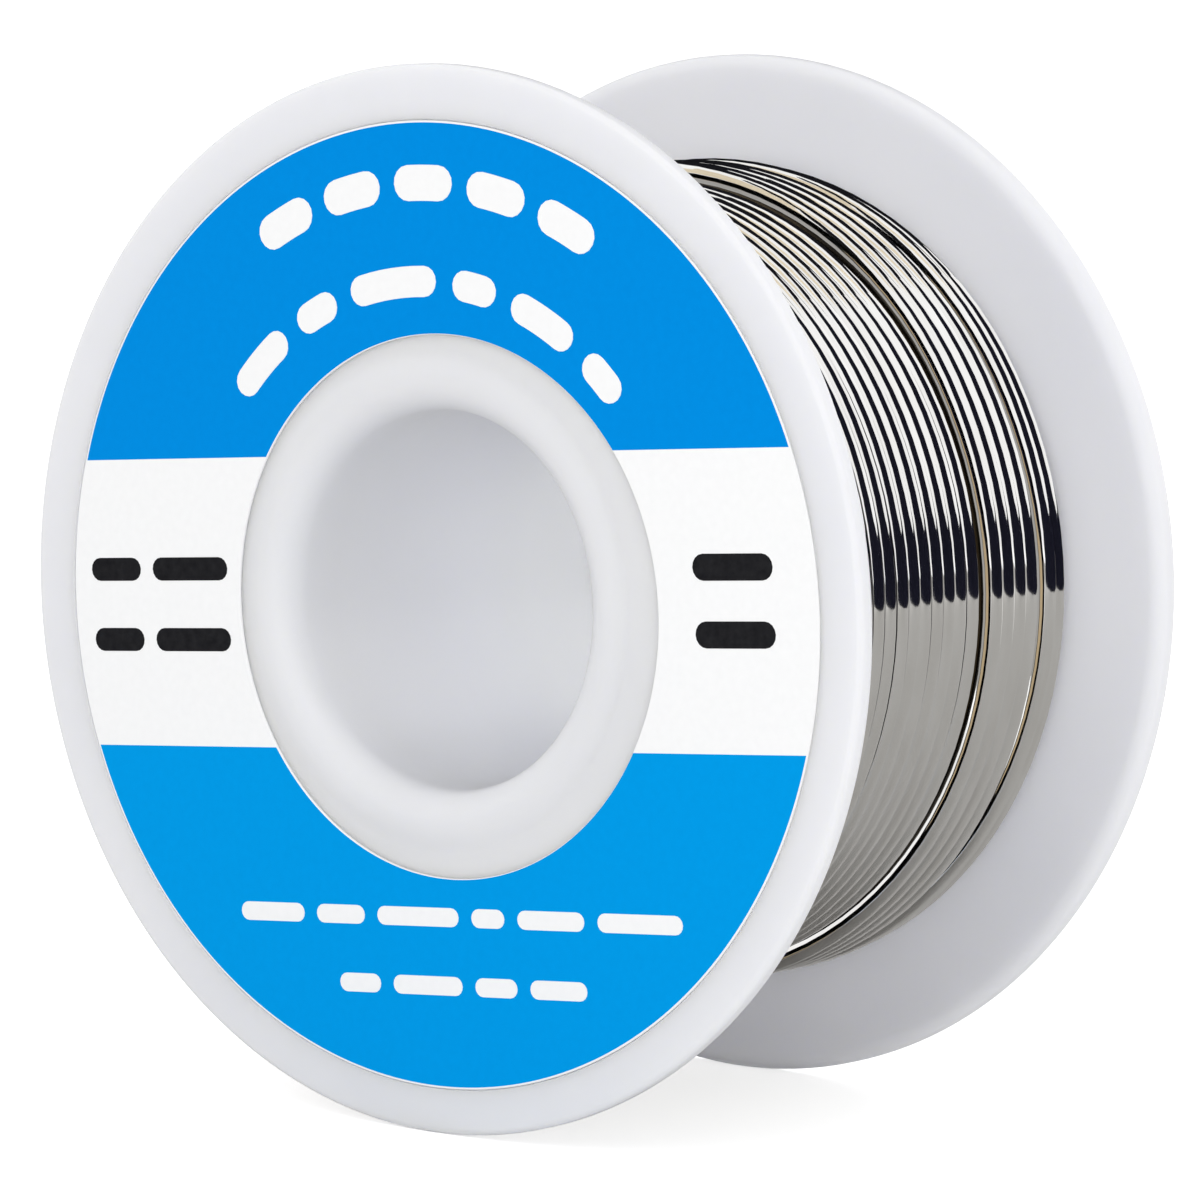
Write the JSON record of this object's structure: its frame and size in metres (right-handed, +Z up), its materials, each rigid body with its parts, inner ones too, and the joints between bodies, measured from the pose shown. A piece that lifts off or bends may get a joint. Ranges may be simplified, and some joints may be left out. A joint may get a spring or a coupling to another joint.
{
  "type": "solder wire spool",
  "caption": "Small flanged plastic spool with a through bore, wound full of thin solder wire, with a round printed label on one face.",
  "frame": {"origin": "on the standing surface, under the middle of the spool, midway between the flanges", "axes": "+Y along the spool's axis, from the labelled front face to the rear face; +Z up; the spool stands on the rims of its flanges"},
  "size_m": [0.045, 0.0222, 0.0449],
  "materials": {
    "milky_plastic": "satin",
    "label_print": "satin",
    "solder": "gloss"
  },
  "bodies": {
    "root": {"front_spool_half": "milky_plastic", "rear_spool_half": "milky_plastic", "front_label": "label_print", "wire_inner_layers": "solder", "wire_outer_layer": "solder"}
  },
  "joints": []
}
